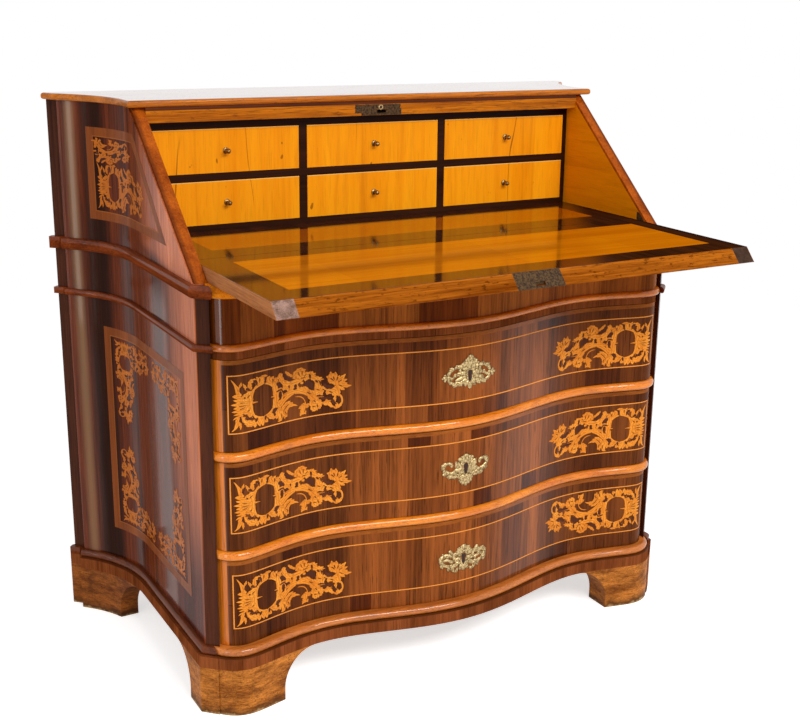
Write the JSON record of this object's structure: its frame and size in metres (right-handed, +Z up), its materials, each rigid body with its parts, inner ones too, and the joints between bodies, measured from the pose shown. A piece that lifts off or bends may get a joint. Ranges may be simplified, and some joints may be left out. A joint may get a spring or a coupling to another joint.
{
  "type": "slant-front writing bureau",
  "caption": "Slant-front writing bureau with a serpentine drawer front, a hinged fall that opens to a writing surface, and a gallery of small drawers inside.",
  "frame": {"origin": "on the floor under the middle of the outline, with the fall open", "axes": "+Z up, the drawer fronts face -Y, +X to the right of someone who faces them from -Y"},
  "size_m": [1.163, 0.7728, 1.0153],
  "materials": {
    "veneer": "polished",
    "golden": "polished",
    "ebonised": "satin",
    "interior": "satin",
    "secondary": "plain",
    "brass": "worn",
    "iron": "dark"
  },
  "bodies": {
    "carcass": {"back_panel": "secondary", "back_stiles": "veneer", "base_front": "veneer", "base_sides": "veneer", "bottom_board": "secondary", "divider_lower": "golden", "divider_upper": "golden", "dust_boards": "secondary", "facings": "golden", "feet_back": "veneer", "feet_front": "veneer", "frieze": "veneer", "front_stiles": "veneer", "gallery_frame": "ebonised", "ledge": "golden", "linings": "interior", "lock_keeper": "iron", "pivots": "iron", "side_left": "veneer", "side_mouldings_left": "golden", "side_mouldings_right": "golden", "side_right": "veneer", "top_board": "veneer", "top_rail": "golden", "waist_rail": "golden", "writing_bed": "golden"},
    "fall": {"fall_board": "golden", "fall_clamps": "golden", "fall_lock": "iron"},
    "fall_bolt": {"fall_bolt": "iron"},
    "drawer_top": {"drawer_front_top": "veneer", "drawer_box_top": "secondary", "escutcheon_top": "brass", "drawer_lock_top": "iron"},
    "drawer_top_bolt": {"drawer_bolt_top": "iron"},
    "drawer_middle": {"drawer_front_middle": "veneer", "drawer_box_middle": "secondary", "escutcheon_middle": "brass", "drawer_lock_middle": "iron"},
    "drawer_middle_bolt": {"drawer_bolt_middle": "iron"},
    "drawer_bottom": {"drawer_front_bottom": "veneer", "drawer_box_bottom": "secondary", "escutcheon_bottom": "brass", "drawer_lock_bottom": "iron"},
    "drawer_bottom_bolt": {"drawer_bolt_bottom": "iron"},
    "small_drawer_upper_left": {"small_upper_left": "interior", "knob_upper_left": "brass"},
    "small_drawer_upper_middle": {"small_upper_middle": "interior", "knob_upper_middle": "brass"},
    "small_drawer_upper_right": {"small_upper_right": "interior", "knob_upper_right": "brass"},
    "small_drawer_lower_left": {"small_lower_left": "interior", "knob_lower_left": "brass"},
    "small_drawer_lower_middle": {"small_lower_middle": "interior", "knob_lower_middle": "brass"},
    "small_drawer_lower_right": {"small_lower_right": "interior", "knob_lower_right": "brass"}
  },
  "joints": [
    {"name": "fall_hinge", "type": "hinge", "parent": "carcass", "child": "fall", "pos_m": [0, -0.07157, 0.7703], "axis": [1, 0, 0], "range_deg": [-139, 0]},
    {"name": "fall_bolt_slide", "type": "slide", "parent": "fall", "child": "fall_bolt", "axis": [0, -1, 0], "range_m": [0, 0.009]},
    {"name": "drawer_top_slide", "type": "slide", "parent": "carcass", "child": "drawer_top", "axis": [0, -1, 0], "range_m": [0, 0.35]},
    {"name": "drawer_top_bolt_slide", "type": "slide", "parent": "drawer_top", "child": "drawer_top_bolt", "axis": [0, 0, 1], "range_m": [0, 0.01]},
    {"name": "drawer_middle_slide", "type": "slide", "parent": "carcass", "child": "drawer_middle", "axis": [0, -1, 0], "range_m": [0, 0.35]},
    {"name": "drawer_middle_bolt_slide", "type": "slide", "parent": "drawer_middle", "child": "drawer_middle_bolt", "axis": [0, 0, 1], "range_m": [0, 0.01]},
    {"name": "drawer_bottom_slide", "type": "slide", "parent": "carcass", "child": "drawer_bottom", "axis": [0, -1, 0], "range_m": [0, 0.35]},
    {"name": "drawer_bottom_bolt_slide", "type": "slide", "parent": "drawer_bottom", "child": "drawer_bottom_bolt", "axis": [0, 0, 1], "range_m": [0, 0.01]},
    {"name": "small_upper_left_slide", "type": "slide", "parent": "carcass", "child": "small_drawer_upper_left", "axis": [0, -1, 0], "range_m": [0, 0.12]},
    {"name": "small_upper_middle_slide", "type": "slide", "parent": "carcass", "child": "small_drawer_upper_middle", "axis": [0, -1, 0], "range_m": [0, 0.12]},
    {"name": "small_upper_right_slide", "type": "slide", "parent": "carcass", "child": "small_drawer_upper_right", "axis": [0, -1, 0], "range_m": [0, 0.12]},
    {"name": "small_lower_left_slide", "type": "slide", "parent": "carcass", "child": "small_drawer_lower_left", "axis": [0, -1, 0], "range_m": [0, 0.12]},
    {"name": "small_lower_middle_slide", "type": "slide", "parent": "carcass", "child": "small_drawer_lower_middle", "axis": [0, -1, 0], "range_m": [0, 0.12]},
    {"name": "small_lower_right_slide", "type": "slide", "parent": "carcass", "child": "small_drawer_lower_right", "axis": [0, -1, 0], "range_m": [0, 0.12]}
  ]
}
